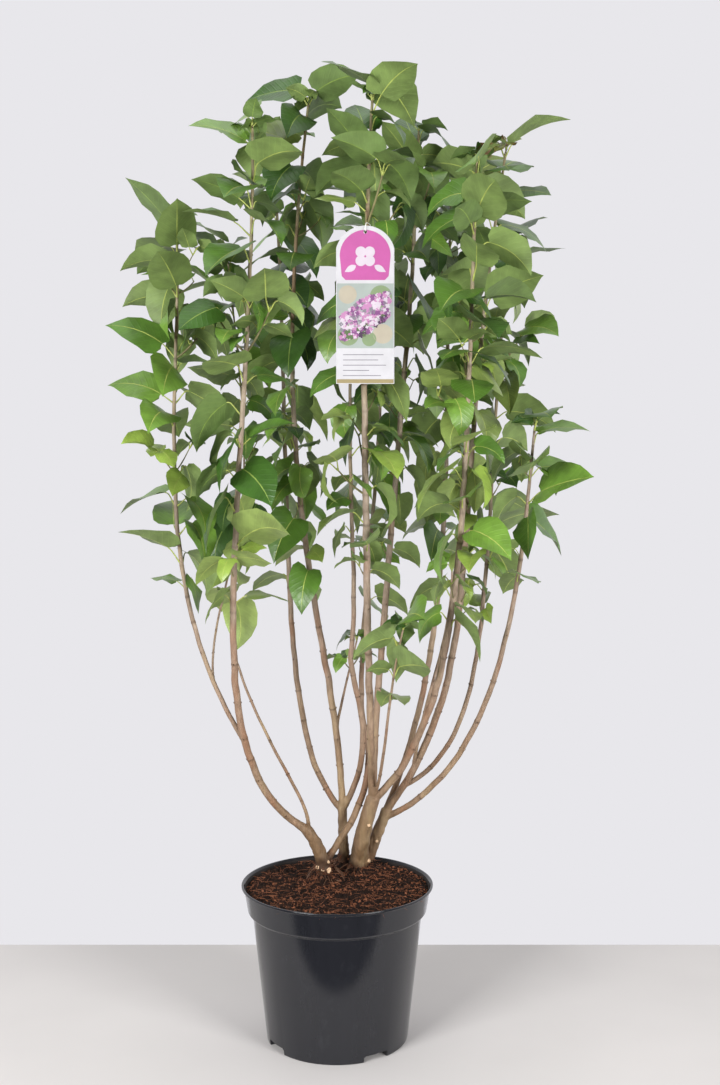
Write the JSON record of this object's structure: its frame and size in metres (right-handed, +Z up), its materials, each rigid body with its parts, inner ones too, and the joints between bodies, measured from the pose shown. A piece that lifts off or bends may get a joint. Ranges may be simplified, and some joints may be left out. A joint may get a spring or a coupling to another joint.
{
  "type": "potted lilac bush",
  "caption": "Many-stemmed lilac bush in leaf, standing in a round dark nursery pot of compost, with a hang tag tied to its middle stem.",
  "frame": {"origin": "middle of the pot's flat underside, on the surface it stands on", "axes": "+Z up along the pot's axis and the plant's height, +X to the right of the front view, +Y to the back"},
  "size_m": [0.7926, 0.5777, 1.6057],
  "materials": {
    "pot": "satin charcoal moulded plastic with faint scuffs",
    "compost": "damp red-brown peat and coir fibre, rough and matt",
    "bark": "olive-brown young bark with paired bud scars, greyer and purplish towards the tips",
    "foliage": "satin mid-green leaf with a pale midrib, paler and matt beneath",
    "tag": null,
    "tie": "thin white plastic thread"
  },
  "bodies": {
    "root": {"pot": "pot", "compost": "compost", "trunk_left": "bark", "trunk_middle": "bark", "trunk_right": "bark", "trunk_back": "bark", "bough_centre_front": "bark", "bough_left_front": "bark", "bough_left_middle": "bark", "bough_right_middle": "bark", "bough_centre_right": "bark", "bough_right_front": "bark", "bough_far_right": "bark", "bough_right_back": "bark", "bough_left_back": "bark", "bough_centre_left": "bark", "bough_centre_back": "bark", "bough_far_left": "bark", "bough_right_rear": "bark", "bough_right_low": "bark", "bough_centre_low": "bark", "bough_back_low": "bark", "bough_left_low": "bark", "bough_left_bare": "bark", "leaves_centre_front": "foliage", "leaves_left_front": "foliage", "leaves_left_middle": "foliage", "leaves_right_middle": "foliage", "leaves_centre_right": "foliage", "leaves_right_front": "foliage", "leaves_far_right": "foliage", "leaves_right_back": "foliage", "leaves_left_back": "foliage", "leaves_centre_left": "foliage", "leaves_centre_back": "foliage", "leaves_far_left": "foliage", "leaves_right_rear": "foliage", "leaves_right_low": "foliage", "leaves_centre_low": "foliage", "leaves_back_low": "foliage", "leaves_left_low": "foliage", "tag": "tag", "tag_tie": "tie"}
  },
  "joints": []
}
